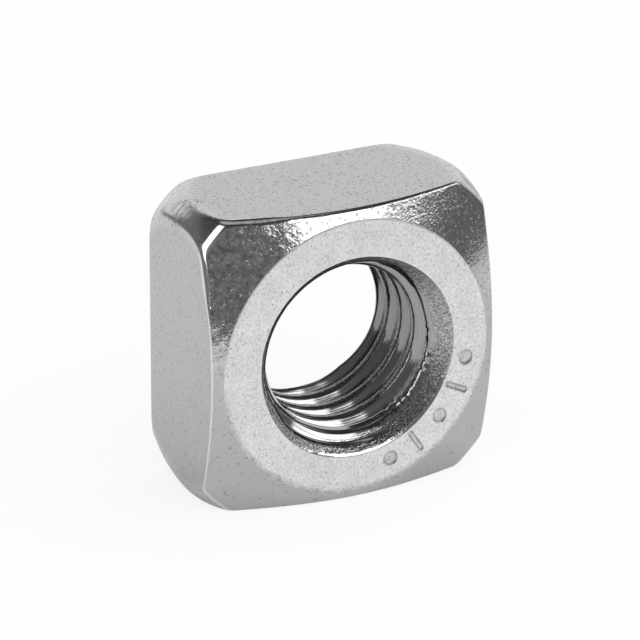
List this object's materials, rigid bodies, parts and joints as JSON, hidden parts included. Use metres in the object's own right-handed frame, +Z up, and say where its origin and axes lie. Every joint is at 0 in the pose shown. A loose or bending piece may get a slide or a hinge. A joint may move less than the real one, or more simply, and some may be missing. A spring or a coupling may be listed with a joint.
{
  "type": "square nut",
  "caption": "Square steel nut with a chamfered front face, crowned corners and a countersunk right-hand metric thread.",
  "frame": {"origin": "middle of the threaded bore, halfway between the chamfered face and the bearing face", "axes": "Y runs along the bore: -Y looks out of the chamfered face with its ring of marks, +Y out of the plain bearing face. Z is up, and the nut stands on its lower side flat. X and Z are square to the side flats."},
  "size_m": [0.016, 0.008, 0.016],
  "materials": {
    "steel": "bright forged steel, lightly pitted, with fine tool marks"
  },
  "bodies": {
    "root": {"nut": "steel"}
  },
  "joints": []
}
